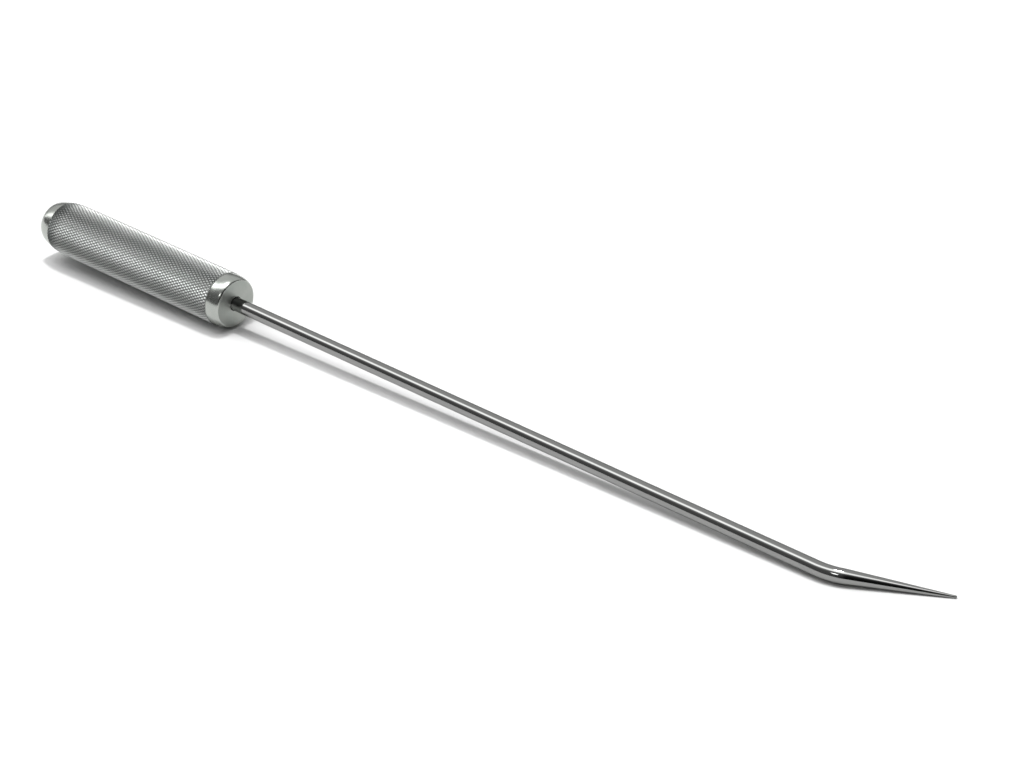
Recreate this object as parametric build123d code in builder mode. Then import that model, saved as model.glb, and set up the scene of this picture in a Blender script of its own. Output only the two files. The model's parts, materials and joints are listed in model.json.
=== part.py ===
from build123d import *
import math
import os

# Bent-tip scriber: a knurled aluminium handle with a long polished steel rod.
# Everything is drawn along the tool's own axis first: X runs through the handle and the rod,
# x = 0 is the handle's front face, the tip is towards +X and the rod's bend turns towards +Y.
# At the end the whole tool is laid down on the plane z = 0 as it lies on a bench.
# All sizes are in millimetres and degrees.

# ---- Handle ----
handle_length = 154.0
crest_radius = 15.9            # over the knurl's crests
band_radius = 15.6             # smooth turned band in front of the knurl
knurl_start = 8.7              # from the front face back to the knurl
front_edge_length = 5.2        # softened front edge, measured along the axis
front_edge_drop = 1.8          # and measured across it
dome_length = 21.8             # domed rear end, measured along the axis
dome_drop = 5.0                # and measured across it

# ---- Rod ----
rod_radius = 4.0
tang_length = 90.0             # hidden length held in the handle
tang_chamfer = 0.6
bend_corner = 398.0            # where the two straight centre lines would meet
bend_angle = 26.3
bend_radius = 30.0
nose_length = 59.6             # from that corner to the centre of the rounded tip
tip_radius = 0.75

# ---- How the rod is held ----
bore_clearance = 0.03
bore_extra_depth = 2.0
bore_mouth_chamfer = 0.4
drill_point_angle = 118.0
screw_stations = (18.0, 48.0)  # two grub screws, measured back from the front face
screw_radius = 3.0             # M6
screw_length = 10.0
thread_clearance = 0.05
screw_chamfer = 0.5
cup_radius = 1.5
cup_depth = 0.8
socket_across_flats = 3.0
socket_depth = 3.5
flat_depth = 0.5               # long flat milled on the tang, under the screws
flat_ends = (8.0, 60.0)

# ---- Worked out from the above ----
turn = math.radians(bend_angle)
bend_setback = bend_radius * math.tan(turn / 2)
bend_start = bend_corner - bend_setback
taper_length = nose_length - bend_setback
bore_radius = rod_radius + bore_clearance
bore_depth = tang_length + bore_extra_depth
drill_point_length = bore_radius / math.tan(math.radians(drill_point_angle / 2))
flat_height = rod_radius - flat_depth
rear_face_radius = crest_radius - dome_drop
front_face_radius = band_radius - front_edge_drop
screw_top = flat_height + screw_length

# The tool lies on three points: the knurl's front end, the rod at the end of its bend, and the tip.
# Each gives one equation in the height lost along the axis (sin_tilt) and across it (sin_roll).
bend_end = (bend_start + bend_radius * math.sin(turn), bend_radius * (1 - math.cos(turn)))
tip_centre = (bend_end[0] + taper_length * math.cos(turn), bend_end[1] + taper_length * math.sin(turn))
bend_reach, tip_reach = bend_end[0] + knurl_start, tip_centre[0] + knurl_start
bend_drop, tip_drop = crest_radius - rod_radius, crest_radius - tip_radius
determinant = tip_reach * bend_end[1] - bend_reach * tip_centre[1]
sin_tilt = (tip_drop * bend_end[1] - bend_drop * tip_centre[1]) / determinant
sin_roll = (tip_drop * bend_reach - bend_drop * tip_reach) / determinant
tilt = math.degrees(math.asin(sin_tilt))
roll = math.degrees(math.asin(sin_roll))


def on_screw_stations(height):
    """Sketch plane facing +Y at this height, with the two screw positions in its own x and y."""
    plane = Plane.ZX.offset(height)
    return plane, [(0, -station) for station in screw_stations]


# ---- Handle: one turned piece with a blind bore and two tapped holes ----
with BuildPart() as handle:
    with BuildSketch(Plane.XY) as turned_profile:
        with BuildLine():
            Line((-handle_length, 0), (-handle_length, rear_face_radius))
            EllipticalCenterArc((dome_length - handle_length, rear_face_radius),
                                dome_length, dome_drop, start_angle=90, arc_size=90)
            Line((dome_length - handle_length, crest_radius), (-knurl_start, crest_radius))
            Line((-knurl_start, crest_radius), (crest_radius - band_radius - knurl_start, band_radius))
            Line((crest_radius - band_radius - knurl_start, band_radius), (-front_edge_length, band_radius))
            EllipticalCenterArc((-front_edge_length, front_face_radius),
                                front_edge_length, front_edge_drop, start_angle=0, arc_size=90)
            Line((0, front_face_radius), (0, 0))
            Line((0, 0), (-handle_length, 0))
        make_face()
    revolve(axis=Axis.X)
    with BuildSketch(Plane.XY) as bore_profile:
        with BuildLine():
            Polyline(
                (0, 0),
                (0, bore_radius + bore_mouth_chamfer),
                (-bore_mouth_chamfer, bore_radius),
                (-bore_depth, bore_radius),
                (-bore_depth - drill_point_length, 0),
                close=True,
            )
        make_face()
    revolve(axis=Axis.X, mode=Mode.SUBTRACT)
    centre_plane, stations = on_screw_stations(0)
    with BuildSketch(centre_plane):
        with Locations(*stations):
            Circle(screw_radius)
    extrude(amount=crest_radius, mode=Mode.SUBTRACT)

# ---- Rod: tang, straight shank, bend, ground taper and rounded tip in one piece of steel ----
with BuildPart() as rod:
    with BuildLine() as centre_line:
        Line((-tang_length, 0), (bend_start, 0))
        CenterArc((bend_start, bend_radius), bend_radius, -90, bend_angle)
    with BuildSketch(Plane.YZ.offset(-tang_length)):
        Circle(rod_radius)
    sweep(path=centre_line.wires()[0])
    chamfer(rod.edges().sort_by(Axis.X)[0], length=tang_chamfer)
    nose_direction = (math.cos(turn), math.sin(turn), 0)
    nose_plane = Plane((*bend_end, 0), x_dir=nose_direction, z_dir=(0, 0, 1))
    with BuildSketch(nose_plane) as nose_profile:
        with BuildLine():
            Line((0, 0), (0, rod_radius))
            Line((0, rod_radius), (taper_length, tip_radius))
            CenterArc((taper_length, 0), tip_radius, 0, 90)
            Line((taper_length + tip_radius, 0), (0, 0))
        make_face()
    revolve(axis=Axis(nose_plane.origin, nose_plane.x_dir))
    with BuildSketch(Plane.ZX.offset(flat_height)):
        with Locations((0, -sum(flat_ends) / 2)):
            Rectangle(2 * rod_radius, flat_ends[1] - flat_ends[0])
    extrude(amount=flat_depth, mode=Mode.SUBTRACT)

# ---- Grub screws: cup points on the tang's flat, sockets facing the side the tip bends to ----
with BuildPart() as grub_screws:
    point_plane, stations = on_screw_stations(flat_height)
    with BuildSketch(point_plane):
        with Locations(*stations):
            Circle(screw_radius - thread_clearance)
    extrude(amount=screw_length)
    chamfer(grub_screws.edges().filter_by(GeomType.CIRCLE), length=screw_chamfer)
    top_plane, stations = on_screw_stations(screw_top)
    with BuildSketch(top_plane):
        with Locations(*stations):
            RegularPolygon(socket_across_flats / 2, 6, major_radius=False)
    extrude(amount=-socket_depth, mode=Mode.SUBTRACT)
    with Locations(*[(-station, flat_height, 0) for station in screw_stations]):
        Cone(cup_radius, 0, cup_depth, rotation=(-90, 0, 0),
             align=(Align.CENTER, Align.CENTER, Align.MIN), mode=Mode.SUBTRACT)

# ---- Lay the tool down: centred over the origin, touching z = 0 ----
pieces = {"handle": handle, "rod": rod, "grub_screws": grub_screws}
lean = Location((0, 0, 0), (0, tilt, 0)) * Location((0, 0, 0), (roll, 0, 0))
for piece in pieces.values():
    piece.part.move(lean)
box = Compound([piece.part for piece in pieces.values()]).bounding_box()
to_origin = Location((-box.center().X, -box.center().Y, -box.min.Z))

os.makedirs("parts", exist_ok=True)
for name, piece in pieces.items():
    piece.part.move(to_origin)
    piece.part.label = name
    export_step(piece.part, f"parts/{name}.step")

front_centre = tuple(round(v, 3) for v in lean.position + to_origin.position)
print(f"tilt {tilt:.3f} deg, roll {roll:.3f} deg, front face centre at {front_centre} mm")
print(f"box {box.size.X:.2f} x {box.size.Y:.2f} x {box.size.Z:.2f} mm")
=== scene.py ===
import json
import math

import bpy
from mathutils import Matrix, Vector


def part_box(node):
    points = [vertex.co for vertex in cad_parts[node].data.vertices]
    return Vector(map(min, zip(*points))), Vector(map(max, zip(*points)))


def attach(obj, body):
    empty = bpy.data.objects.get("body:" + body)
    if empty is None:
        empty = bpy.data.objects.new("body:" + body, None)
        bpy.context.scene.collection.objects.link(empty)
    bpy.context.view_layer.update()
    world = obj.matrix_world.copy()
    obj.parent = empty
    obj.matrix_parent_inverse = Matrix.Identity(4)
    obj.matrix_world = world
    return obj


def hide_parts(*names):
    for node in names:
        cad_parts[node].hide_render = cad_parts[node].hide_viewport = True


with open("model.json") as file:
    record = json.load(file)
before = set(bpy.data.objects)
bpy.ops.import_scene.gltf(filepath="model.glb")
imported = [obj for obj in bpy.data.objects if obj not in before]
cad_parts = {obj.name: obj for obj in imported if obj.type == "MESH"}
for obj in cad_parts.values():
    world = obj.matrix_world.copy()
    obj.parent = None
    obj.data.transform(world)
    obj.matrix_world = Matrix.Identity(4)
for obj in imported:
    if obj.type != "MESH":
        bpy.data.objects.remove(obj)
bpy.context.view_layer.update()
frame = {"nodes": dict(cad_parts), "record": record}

MM = 0.001

# ---- Handle sizes ----
HANDLE_LENGTH = 154.0 * MM
KNURL_START = 8.7 * MM                    # from the front face back to the knurl
KNURL_END = 143.8 * MM
BAND_RADIUS = 15.6 * MM                   # smooth turned band in front of the knurl
FRONT_EDGE_LENGTH = 5.2 * MM              # softened front edge, along the axis
FRONT_EDGE_DROP = 1.8 * MM                # and across it
FRONT_CREASE = math.radians(20)           # the edge's curve starts here, not quite in line with the band
DOME_LENGTH = 21.8 * MM                   # domed rear end, along the axis
DOME_DROP = 5.0 * MM                      # and across it
BORE_RADIUS = 4.03 * MM
BORE_DEPTH = 92.0 * MM
DRILL_POINT = 2.4 * MM
MOUTH_CHAMFER = 0.4 * MM

# ---- Knurl ----
KNURL_STARTS = 52                         # diamonds round the handle
KNURL_ROWS = 82                           # half diamonds along it
KNURL_DEPTH = 0.58 * MM
SHOULDER_STEP = 0.25 * MM                 # the dome's smooth end lies this far under the crests
CREST_STEPS = ((0.36, 0.92), (0.24, 1.0))  # share of the way out to a corner, share of the depth

# ---- Rod sizes ----
ROD_RADIUS = 4.0 * MM
TANG_LENGTH = 90.0 * MM
TANG_CHAMFER = 0.6 * MM
TANG_FLAT = 3.5 * MM                      # height of the flat over the axis
FLAT_ENDS = (8.0 * MM, 60.0 * MM)
BEND_CORNER = 398.0 * MM                  # where the two straight centre lines would meet
BEND_ANGLE = math.radians(26.3)
BEND_RADIUS = 30.0 * MM
NOSE_LENGTH = 59.6 * MM                   # from that corner to the centre of the rounded tip
TIP_RADIUS = 0.75 * MM

# ---- Screw holes ----
SCREW_STATIONS = (18.0 * MM, 48.0 * MM)
THREAD_RADIUS = 3.0 * MM
THREAD_CREST = 2.6 * MM
THREAD_PITCH = 1.0 * MM
HOLE_MOUTH_RADIUS = 3.4 * MM
HOLE_FLOOR = 2.0 * MM                     # the cutter starts here, inside the bore
CUTTER_OVERLAP = 1.0 * MM                 # and ends this far outside the crests

# ---- Mesh fineness: facets round a part, rings along it ----
ROD_SIDES = 96
HOLE_SIDES = 48
BAND_RINGS = 3
EDGE_RINGS = 12
FACE_RINGS = 6
DOME_RINGS = 14
REAR_RINGS = 5
SHANK_RINGS = 60
BEND_RINGS = 24
TAPER_RINGS = 40
TIP_RINGS = 8

# ---- Shading: edges sharper than this stay crisp ----
HANDLE_SHARP_ANGLE = math.radians(28)
ROD_SHARP_ANGLE = math.radians(40)

# ---- The tool's own frame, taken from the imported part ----
# Its origin is the middle of the handle's front face, X runs towards the tip and Y towards the side
# that the rod bends to, which is also the side of the grub screws. Meshes are drawn in that frame.
grip = next(mount for mount in frame["record"]["mounts"] if mount["name"] == "grip")
CREST_RADIUS = grip["dims"]["r_mm"] * MM
GRIP_LENGTH = grip["dims"]["length_mm"] * MM


def tool_frame():
    """Matrix that places the tool's frame in the row frame."""
    forward = -Vector(grip["axis"]).normalized()
    origin = Vector(grip["pos_m"]) + forward * (GRIP_LENGTH / 2 + KNURL_START)
    low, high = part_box("grub_screws")
    sideways = (low + high) / 2 - origin
    sideways -= forward * sideways.dot(forward)
    sideways.normalize()
    axes = Matrix((forward, sideways, forward.cross(sideways))).transposed().to_4x4()
    return Matrix.Translation(origin) @ axes


TOOL = tool_frame()


# ---- Materials ----
class Finish:
    """A Principled metal whose colour, roughness and surface are worked out by nodes."""

    def __init__(self, name, metallic=1.0):
        self.material = bpy.data.materials.new(name)
        self.material.use_nodes = True
        self.nodes = self.material.node_tree.nodes
        self.links = self.material.node_tree.links
        self.shader = self.nodes["Principled BSDF"]
        self.shader.inputs["Metallic"].default_value = metallic
        coords = self.nodes.new("ShaderNodeTexCoord")
        place = self.node("Mapping", vector_type="TEXTURE")
        place.inputs["Location"].default_value = TOOL.to_translation()
        place.inputs["Rotation"].default_value = TOOL.to_euler()
        self.links.new(coords.outputs["Object"], place.inputs["Vector"])
        self.place = place.outputs[0]     # in the tool's frame
        self.height = None

    def node(self, kind, **settings):
        made = self.nodes.new("ShaderNode" + kind)
        for key, value in settings.items():
            setattr(made, key, value)
        return made

    def value(self, operation, first, second):
        """A math node; each input is a socket or a number."""
        made = self.node("Math", operation=operation)
        for socket, given in zip(made.inputs, (first, second)):
            if isinstance(given, (int, float)):
                socket.default_value = given
            else:
                self.links.new(given, socket)
        return made.outputs[0]

    def split(self):
        parts = self.node("SeparateXYZ")
        self.links.new(self.place, parts.inputs[0])
        return parts.outputs

    def radius(self):
        """Distance from the tool's axis."""
        _, y, z = self.split()
        squares = self.value("ADD", self.value("MULTIPLY", y, y), self.value("MULTIPLY", z, z))
        return self.value("POWER", squares, 0.5)

    def noise(self, scale, detail=3.0, roughness=0.5, vector=None, stretch=None):
        made = self.node("TexNoise")
        made.inputs["Scale"].default_value = scale
        made.inputs["Detail"].default_value = detail
        made.inputs["Roughness"].default_value = roughness
        source = vector or self.place
        if stretch:
            mapping = self.node("Mapping")
            mapping.inputs["Scale"].default_value = stretch
            self.links.new(source, mapping.inputs["Vector"])
            source = mapping.outputs[0]
        self.links.new(source, made.inputs["Vector"])
        return made.outputs["Fac"]

    def along(self, coordinate):
        """A vector that changes only with this one coordinate, for turning marks."""
        made = self.node("CombineXYZ")
        self.links.new(coordinate, made.inputs[0])
        return made.outputs[0]

    def ramp(self, source, *stops):
        """Colour ramp; each stop is (position, grey or colour)."""
        made = self.node("ValToRGB")
        elements = made.color_ramp.elements
        while len(elements) < len(stops):
            elements.new(0.5)
        for element, (position, shade) in zip(elements, stops):
            element.position = position
            colour = (shade,) * 3 if isinstance(shade, (int, float)) else shade
            element.color = (*colour, 1.0)
        self.links.new(source, made.inputs[0])
        return made.outputs[0]

    def mix(self, factor, first, second):
        made = self.node("Mix", data_type="RGBA")
        self.links.new(factor, made.inputs[0])
        for socket, given in ((made.inputs[6], first), (made.inputs[7], second)):
            if isinstance(given, tuple):
                socket.default_value = (*given, 1.0)
            else:
                self.links.new(given, socket)
        return made.outputs[2]

    def colour(self, socket):
        self.links.new(socket, self.shader.inputs["Base Color"])

    def roughness(self, socket):
        self.links.new(socket, self.shader.inputs["Roughness"])

    def bump(self, height, depth, strength=1.0):
        made = self.node("Bump")
        made.inputs["Distance"].default_value = depth
        made.inputs["Strength"].default_value = strength
        self.links.new(height, made.inputs["Height"])
        if self.height:
            self.links.new(self.height, made.inputs["Normal"])
        self.height = made.outputs[0]
        self.links.new(self.height, self.shader.inputs["Normal"])


def knurled_aluminium():
    """Pressed diamonds: grooves coloured far darker than the crests as painted shade in the recesses, a
    faint patina in patches.
    """
    made = Finish("knurled_aluminium")
    depth = made.node("MapRange")
    depth.inputs["From Min"].default_value = CREST_RADIUS - KNURL_DEPTH
    depth.inputs["From Max"].default_value = CREST_RADIUS
    made.links.new(made.radius(), depth.inputs["Value"])
    patches = made.ramp(made.noise(60.0, 4.0), (0.35, (0.49, 0.505, 0.49)), (0.65, (0.55, 0.555, 0.545)))
    # Painted shade: by height from groove to crest, the groove colour (0.14) is far darker than the
    # crests', standing in for shade in the recesses.
    made.colour(made.mix(depth.outputs[0], (0.14, 0.148, 0.144), patches))
    made.roughness(made.ramp(depth.outputs[0], (0.0, 0.42), (1.0, 0.28)))
    made.bump(made.noise(2600.0, 3.0, 0.6), 0.01 * MM, 0.5)
    return made.material


def turned_aluminium():
    """Bright lathe finish with fine rings round the axis."""
    made = Finish("turned_aluminium")
    x, _, _ = made.split()
    rings = made.noise(9000.0, 2.0, 0.7, vector=made.along(x))
    made.colour(made.ramp(made.noise(90.0, 3.0), (0.3, (0.39, 0.41, 0.385)), (0.7, (0.44, 0.455, 0.43))))
    made.roughness(made.ramp(rings, (0.3, 0.16), (0.7, 0.26)))
    made.bump(rings, 0.004 * MM, 0.5)
    return made.material


def faced_aluminium():
    """Satin face with the concentric marks of a facing cut."""
    made = Finish("faced_aluminium")
    rings = made.noise(7000.0, 3.0, 0.7, vector=made.along(made.radius()))
    made.colour(made.ramp(made.noise(120.0, 4.0), (0.3, (0.34, 0.365, 0.34)), (0.7, (0.40, 0.415, 0.39))))
    made.roughness(made.ramp(rings, (0.3, 0.38), (0.7, 0.52)))
    made.bump(rings, 0.006 * MM, 0.6)
    return made.material


def bored_aluminium():
    """Inside of the bore and of the tapped holes."""
    made = Finish("bored_aluminium")
    made.colour(made.ramp(made.noise(400.0, 3.0), (0.3, (0.40, 0.41, 0.40)), (0.7, (0.52, 0.53, 0.52))))
    made.roughness(made.ramp(made.noise(900.0, 2.0), (0.3, 0.35), (0.7, 0.5)))
    return made.material


def polished_steel():
    """Mirror-polished rod: faint polishing lines along it and a slow waviness."""
    made = Finish("polished_steel")
    lines = made.noise(1.0, 3.0, 0.6, stretch=(60.0, 5000.0, 5000.0))
    made.colour(made.ramp(made.noise(40.0, 3.0), (0.3, (0.255, 0.26, 0.255)), (0.7, (0.285, 0.285, 0.28))))
    made.roughness(made.ramp(lines, (0.3, 0.055), (0.7, 0.11)))
    made.bump(made.noise(1.0, 2.0, 0.5, stretch=(45.0, 160.0, 160.0)), 0.02 * MM, 0.6)
    made.bump(lines, 0.001 * MM, 0.3)
    return made.material


def black_oxide():
    """Blackened screw steel, a little worn."""
    made = Finish("black_oxide", metallic=0.85)
    worn = made.noise(900.0, 4.0, 0.6)
    made.colour(made.ramp(worn, (0.45, (0.035, 0.035, 0.038)), (0.75, (0.10, 0.10, 0.10))))
    made.roughness(made.ramp(worn, (0.3, 0.34), (0.7, 0.5)))
    made.bump(worn, 0.01 * MM, 0.5)
    return made.material


# ---- Mesh helpers ----
def new_piece(name, verts, faces, materials, slots=None, smooth=None):
    """Makes a mesh object from points in the tool's frame and stands it in place."""
    mesh = bpy.data.meshes.new(name)
    mesh.from_pydata(verts, [], faces)
    for material in materials:
        mesh.materials.append(material)
    if slots:
        mesh.polygons.foreach_set("material_index", slots)
    mesh.polygons.foreach_set("use_smooth", smooth or [True] * len(faces))
    mesh.update()
    mesh.transform(TOOL)
    piece = bpy.data.objects.new(name, mesh)
    bpy.context.scene.collection.objects.link(piece)
    return piece


def even_angles(count):
    return [2 * math.pi * i / count for i in range(count)]


def crest_profile(back):
    """Radius of the handle's outer form, this far behind its front face."""
    share = max(0.0, back - (HANDLE_LENGTH - DOME_LENGTH)) / DOME_LENGTH
    return CREST_RADIUS - DOME_DROP * (1 - math.sqrt(max(0.0, 1 - share * share)))


# ---- Handle ----
KNURL, BAND, FACE, BORE = range(4)


class HandleMesh:
    """Collects the handle's points and faces, with the finish and shading of each face."""

    def __init__(self):
        self.verts = []
        self.faces = []
        self.finishes = []
        self.smooth = []

    def point(self, back, radius, angle):
        self.verts.append((-back, radius * math.cos(angle), radius * math.sin(angle)))
        return len(self.verts) - 1

    def face(self, corners, finish, smooth=True):
        self.faces.append(corners)
        self.finishes.append(finish)
        self.smooth.append(smooth)

    def ring(self, back, radius, angles):
        return [self.point(back, radius, angle) for angle in angles]

    def bridge(self, front, rear, finish):
        for i in range(len(front)):
            j = (i + 1) % len(front)
            self.face((front[i], rear[i], rear[j], front[j]), finish)

    def angles(self, ring):
        return [math.atan2(self.verts[i][2], self.verts[i][1]) for i in ring]


def knurl_zone(made):
    """Raises the diamonds. Returns the ring of points along the zone's front end and its rear end."""
    half_pitch = math.pi / KNURL_STARTS
    row_step = (KNURL_END - KNURL_START) / KNURL_ROWS
    columns = 2 * KNURL_STARTS
    corners = {}

    def place(column, row, height):
        back = KNURL_START + row * row_step
        radius = crest_profile(back) - KNURL_DEPTH * (1 - height)
        return made.point(back, radius, column * half_pitch)

    def corner(column, row):
        key = (column % columns, row)
        if key not in corners:
            corners[key] = place(*key, 0.0)
        return corners[key]

    west, rearward, east, forward = (-1, 0), (0, 1), (1, 0), (0, -1)
    ends = {0: [], KNURL_ROWS: []}
    for row in range(KNURL_ROWS + 1):
        steps = [west, rearward, east, forward]
        if row == 0:
            steps = [west, rearward, east]
        elif row == KNURL_ROWS:
            steps = [east, forward, west]
        for column in range(row % 2, columns, 2):
            rings = [[corner(column + dx, row + dy) for dx, dy in steps]]
            for share, height in CREST_STEPS:
                rings.append([place(column + share * dx, row + share * dy, height) for dx, dy in steps])
            sides = 4 if len(steps) == 4 else 2
            for outer, inner in zip(rings, rings[1:]):
                for i in range(sides):
                    j = (i + 1) % len(steps)
                    made.face((outer[i], outer[j], inner[j], inner[i]), KNURL, False)
            made.face(tuple(rings[-1]), KNURL, False)
            if row in ends:
                first, last = (0, -1) if row == 0 else (-1, 0)
                ends[row] += [ring[first] for ring in rings]
                ends[row] += [ring[last] for ring in reversed(rings[1:])]
    return ends[0], ends[KNURL_ROWS]


def build_handle(materials):
    made = HandleMesh()
    front, rear = knurl_zone(made)

    # Forwards from the knurl: shoulder, band, softened edge, face, bore.
    angles = made.angles(front)
    outline = [(KNURL_START, BAND_RADIUS, KNURL)]
    band_length = KNURL_START - FRONT_EDGE_LENGTH
    for i in range(1, BAND_RINGS + 1):
        outline.append((KNURL_START - band_length * i / BAND_RINGS, BAND_RADIUS, BAND))
    for i in range(1, EDGE_RINGS + 1):
        turn = FRONT_CREASE + (math.pi / 2 - FRONT_CREASE) * i / EDGE_RINGS
        back = FRONT_EDGE_LENGTH * (1 - math.sin(turn)) / (1 - math.sin(FRONT_CREASE))
        drop = FRONT_EDGE_DROP * (1 - math.cos(turn) / math.cos(FRONT_CREASE))
        outline.append((back, BAND_RADIUS - drop, BAND))
    face_radius = BAND_RADIUS - FRONT_EDGE_DROP
    mouth_radius = BORE_RADIUS + MOUTH_CHAMFER
    for i in range(1, FACE_RINGS + 1):
        outline.append((0.0, face_radius + (mouth_radius - face_radius) * i / FACE_RINGS, FACE))
    outline += [(MOUTH_CHAMFER, BORE_RADIUS, BAND), (BORE_DEPTH, BORE_RADIUS, BORE)]
    previous = front
    for back, radius, finish in outline:
        ring = made.ring(back, radius, angles)
        made.bridge(ring, previous, finish)
        previous = ring
    bottom = made.point(BORE_DEPTH + DRILL_POINT, 0.0, 0.0)
    for i in range(len(previous)):
        made.face((previous[i], previous[(i + 1) % len(previous)], bottom), BORE)

    # Backwards from the knurl: shoulder, the dome's smooth end, the flat at its middle.
    angles = made.angles(rear)
    outline = [(KNURL_END, crest_profile(KNURL_END) - SHOULDER_STEP, KNURL)]
    start = math.asin((KNURL_END - HANDLE_LENGTH + DOME_LENGTH) / DOME_LENGTH)
    for i in range(1, DOME_RINGS + 1):
        turn = start + (math.pi / 2 - start) * i / DOME_RINGS
        back = HANDLE_LENGTH - DOME_LENGTH * (1 - math.sin(turn))
        outline.append((back, crest_profile(back) - SHOULDER_STEP, BAND))
    rear_radius = CREST_RADIUS - DOME_DROP - SHOULDER_STEP
    outline += [(HANDLE_LENGTH, rear_radius * (1 - i / REAR_RINGS), BAND) for i in range(1, REAR_RINGS)]
    previous = rear
    for back, radius, finish in outline:
        ring = made.ring(back, radius, angles)
        made.bridge(previous, ring, finish)
        previous = ring
    middle = made.point(HANDLE_LENGTH, 0.0, 0.0)
    for i in range(len(previous)):
        made.face((previous[(i + 1) % len(previous)], previous[i], middle), BAND)
    return new_piece("knurled_handle", made.verts, made.faces, materials, made.finishes, made.smooth)


def screw_hole_cutter(station):
    """Threaded hole with a countersunk mouth, from inside the bore out through the knurl."""
    outline = [(HOLE_FLOOR, THREAD_RADIUS)]
    height = TANG_FLAT
    mouth = CREST_RADIUS - (HOLE_MOUTH_RADIUS - THREAD_CREST)
    while height < mouth - THREAD_PITCH:
        outline += [(height, THREAD_RADIUS), (height + THREAD_PITCH / 2, THREAD_CREST)]
        height += THREAD_PITCH
    outline += [(mouth, THREAD_CREST), (CREST_RADIUS, HOLE_MOUTH_RADIUS)]
    outline.append((CREST_RADIUS + CUTTER_OVERLAP, HOLE_MOUTH_RADIUS))
    angles = even_angles(HOLE_SIDES)
    verts = [
        (-station + radius * math.sin(angle), height, radius * math.cos(angle))
        for height, radius in outline
        for angle in angles
    ]
    count = len(angles)
    faces = [tuple(reversed(range(count))), tuple(range(len(verts) - count, len(verts)))]
    for level in range(len(outline) - 1):
        for i in range(count):
            j = (i + 1) % count
            low, high = level * count, (level + 1) * count
            faces.append((low + i, low + j, high + j, high + i))
    return verts, faces


def cut_screw_holes(handle, material):
    for station in SCREW_STATIONS:
        verts, faces = screw_hole_cutter(station)
        cutter = new_piece("screw_hole_cutter", verts, faces, [material], smooth=[False] * len(faces))
        cut = handle.modifiers.new("screw_hole", "BOOLEAN")
        cut.object = cutter
        cut.operation = "DIFFERENCE"
        cut.solver = "EXACT"
        cut.material_mode = "TRANSFER"
        depsgraph = bpy.context.evaluated_depsgraph_get()
        whole = bpy.data.meshes.new_from_object(handle.evaluated_get(depsgraph))
        handle.modifiers.clear()
        handle.data = whole
        bpy.data.objects.remove(cutter)


# ---- Rod ----
def rod_stations():
    """Centre point, heading angle and radius of each ring along the rod, from the tang to the tip."""
    setback = BEND_RADIUS * math.tan(BEND_ANGLE / 2)
    bend_start = BEND_CORNER - setback
    taper_length = NOSE_LENGTH - setback
    stations = [(-TANG_LENGTH, 0.0, 0.0, ROD_RADIUS - TANG_CHAMFER)]
    start = -TANG_LENGTH + TANG_CHAMFER
    for i in range(SHANK_RINGS + 1):
        stations.append((start + (bend_start - start) * i / SHANK_RINGS, 0.0, 0.0, ROD_RADIUS))
    for i in range(1, BEND_RINGS + 1):
        heading = BEND_ANGLE * i / BEND_RINGS
        x = bend_start + BEND_RADIUS * math.sin(heading)
        stations.append((x, BEND_RADIUS * (1 - math.cos(heading)), heading, ROD_RADIUS))
    end_x, end_y = stations[-1][:2]
    nose_x, nose_y = math.cos(BEND_ANGLE), math.sin(BEND_ANGLE)
    for i in range(1, TAPER_RINGS + 1):
        run = taper_length * i / TAPER_RINGS
        radius = ROD_RADIUS + (TIP_RADIUS - ROD_RADIUS) * i / TAPER_RINGS
        stations.append((end_x + run * nose_x, end_y + run * nose_y, BEND_ANGLE, radius))
    tip_x, tip_y = stations[-1][:2]
    for i in range(1, TIP_RINGS):
        turn = math.pi / 2 * i / TIP_RINGS
        run = TIP_RADIUS * math.sin(turn)
        radius = TIP_RADIUS * math.cos(turn)
        stations.append((tip_x + run * nose_x, tip_y + run * nose_y, BEND_ANGLE, radius))
    end = (tip_x + TIP_RADIUS * nose_x, tip_y + TIP_RADIUS * nose_y, 0.0)
    return stations, end


def build_rod(material):
    stations, end = rod_stations()
    angles = even_angles(ROD_SIDES)
    verts = []
    for x, y, heading, radius in stations:
        flat = -FLAT_ENDS[1] < x < -FLAT_ENDS[0]
        for angle in angles:
            across = radius * math.cos(angle)
            if flat:
                across = min(across, TANG_FLAT)
            up = radius * math.sin(angle)
            verts.append((x - across * math.sin(heading), y + across * math.cos(heading), up))
    count = len(angles)
    faces = [tuple(reversed(range(count)))]
    for level in range(len(stations) - 1):
        for i in range(count):
            j = (i + 1) % count
            low, high = level * count, (level + 1) * count
            faces.append((low + i, low + j, high + j, high + i))
    verts.append(end)
    last = (len(stations) - 1) * count
    for i in range(count):
        faces.append((last + i, last + (i + 1) % count, len(verts) - 1))
    return new_piece("polished_rod", verts, faces, [material])


# ---- Make the pieces ----
handle_finishes = [knurled_aluminium(), turned_aluminium(), faced_aluminium(), bored_aluminium()]
handle = build_handle(handle_finishes)
cut_screw_holes(handle, handle_finishes[BORE])
handle.data.set_sharp_from_angle(angle=HANDLE_SHARP_ANGLE)
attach(handle, "root")
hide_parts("handle")

rod = build_rod(polished_steel())
rod.data.set_sharp_from_angle(angle=ROD_SHARP_ANGLE)
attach(rod, "root")
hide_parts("rod")

screws = frame["nodes"]["grub_screws"]
screws.data.materials.clear()
screws.data.materials.append(black_oxide())


# ---- Floor ----
FLOOR_HALF = 12.0


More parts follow.
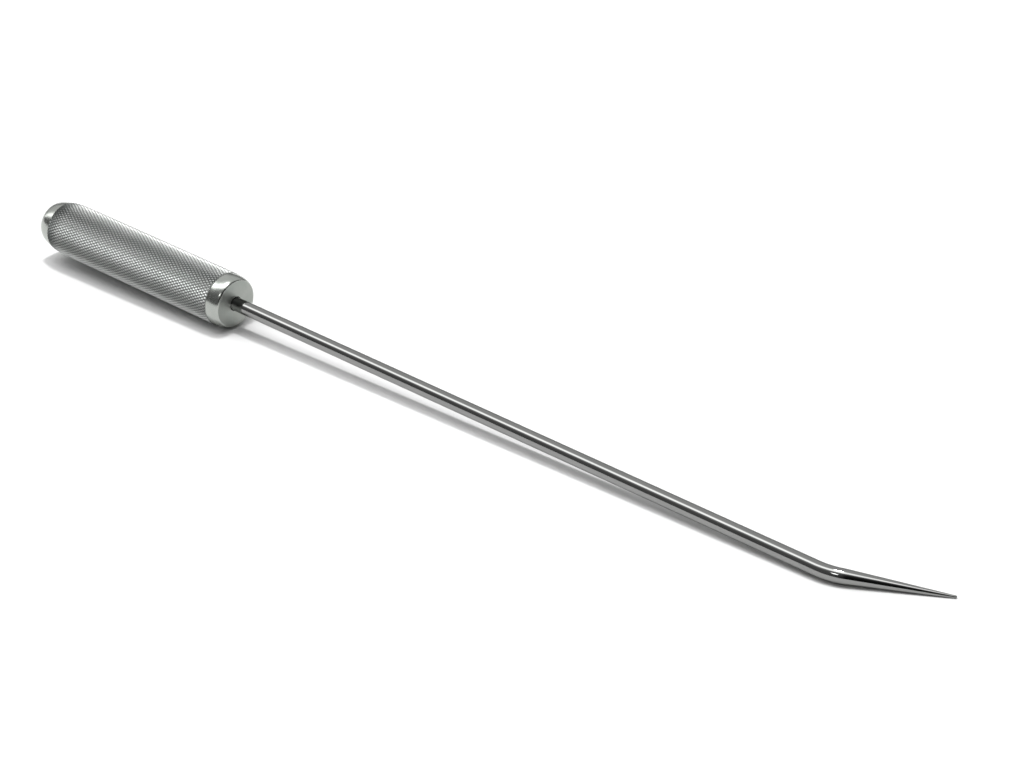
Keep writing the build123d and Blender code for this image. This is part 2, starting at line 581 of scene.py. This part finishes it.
def pale_floor():
    mesh = bpy.data.meshes.new("floor")
    corners = [(x * FLOOR_HALF, y * FLOOR_HALF, 0.0) for x, y in ((-1, -1), (1, -1), (1, 1), (-1, 1))]
    mesh.from_pydata(corners, [], [(0, 1, 2, 3)])
    floor = bpy.data.objects.new("floor", mesh)
    bpy.context.scene.collection.objects.link(floor)
    paper = Finish("paper_white", metallic=0.0)
    paper.colour(paper.ramp(paper.noise(6.0, 2.0), (0.3, 0.90), (0.7, 0.92)))
    paper.roughness(paper.ramp(paper.noise(200.0, 2.0), (0.3, 0.75), (0.7, 0.85)))
    mesh.materials.append(paper.material)


pale_floor()


# ---- Light: a long soft box overhead, two small lamps, a dim side towards the camera ----
LAMPS = (                                 # direction towards the lamp, strength, apparent width in degrees
    ((-0.07, 0.11, 1.0), 1.3, 6),
    ((0.135, -0.715, 0.685), 0.15, 10),
)
ROOM_STRENGTH = 2.6
ROOM_SLANT = math.radians(20)             # the soft box turns this much towards the far side along X
ROOM_SPAN = (                             # share of the X direction, relative brightness there
    (-1.00, 0.80),
    (-0.75, 1.00),
    (0.15, 1.00),
    (0.50, 0.08),
)
ROOM_BANDS = (                            # degrees above the near horizon, relative brightness there
    (0, 0.05),
    (50, 0.07),
    (70, 0.22),
    (76, 1.30),
    (92, 1.30),
    (101, 0.42),
    (112, 0.31),
    (155, 0.31),
    (180, 0.08),
)


def small_lamps():
    for i, (direction, strength, width) in enumerate(LAMPS):
        light = bpy.data.lights.new(f"lamp_{i}", "SUN")
        light.energy = strength
        light.angle = math.radians(width)
        lamp = bpy.data.objects.new(f"lamp_{i}", light)
        lamp.rotation_euler = Vector(direction).to_track_quat("Z", "Y").to_euler()
        bpy.context.scene.collection.objects.link(lamp)


def studio_room():
    """World whose brightness depends on the angle round the tool's length, and a little on the end."""
    world = bpy.data.worlds.new("studio")
    bpy.context.scene.world = world
    world.use_nodes = True
    nodes, links = world.node_tree.nodes, world.node_tree.links

    def math_node(operation, *given):
        made = nodes.new("ShaderNodeMath")
        made.operation = operation
        for socket, value in zip(made.inputs, given):
            if isinstance(value, (int, float)):
                socket.default_value = value
            else:
                links.new(value, socket)
        return made.outputs[0]

    coords = nodes.new("ShaderNodeTexCoord")
    parts = nodes.new("ShaderNodeSeparateXYZ")
    links.new(coords.outputs["Generated"], parts.inputs[0])
    x, y, z = parts.outputs
    angle = math_node("ARCTAN2", z, math_node("MULTIPLY", y, -1.0))
    slanted = math_node("MULTIPLY_ADD", x, -ROOM_SLANT, angle)

    def ramp(source, stops):
        made = nodes.new("ShaderNodeValToRGB")
        elements = made.color_ramp.elements
        while len(elements) < len(stops):
            elements.new(0.5)
        for element, (position, brightness) in zip(elements, stops):
            element.position = position
            element.color = (brightness, brightness, brightness, 1)
        links.new(source, made.inputs[0])
        return made.outputs[0]

    bands = [(degrees / 180, share) for degrees, share in ROOM_BANDS]
    span = [(0.5 + place / 2, share) for place, share in ROOM_SPAN]
    around = ramp(math_node("DIVIDE", slanted, math.pi), bands)
    along = ramp(math_node("MULTIPLY_ADD", x, 0.5, 0.5), span)
    background = nodes["Background"]
    links.new(around, background.inputs["Color"])
    links.new(math_node("MULTIPLY", along, ROOM_STRENGTH), background.inputs["Strength"])


small_lamps()
studio_room()
bpy.context.scene.view_settings.view_transform = "Standard"

# ---- Camera ----
CAMERA_TARGET = Vector((0.013, 0.0443, 0.0001))
CAMERA_AZIMUTH = math.radians(39.49)
CAMERA_ELEVATION = math.radians(29.81)
CAMERA_DISTANCE = 1.252
LENS = 80.58                              # focal length in millimetres on a sensor of this width
SENSOR_WIDTH = 36.0


def photo_camera():
    lens = bpy.data.cameras.new("camera")
    lens.lens = LENS
    lens.sensor_width = SENSOR_WIDTH
    camera = bpy.data.objects.new("camera", lens)
    flat = math.cos(CAMERA_ELEVATION)
    backwards = Vector(
        (math.sin(CAMERA_AZIMUTH) * flat, -math.cos(CAMERA_AZIMUTH) * flat, math.sin(CAMERA_ELEVATION))
    )
    camera.location = CAMERA_TARGET + backwards * CAMERA_DISTANCE
    camera.rotation_euler = (math.pi / 2 - CAMERA_ELEVATION, 0.0, CAMERA_AZIMUTH)
    bpy.context.scene.collection.objects.link(camera)
    bpy.context.scene.camera = camera


photo_camera()
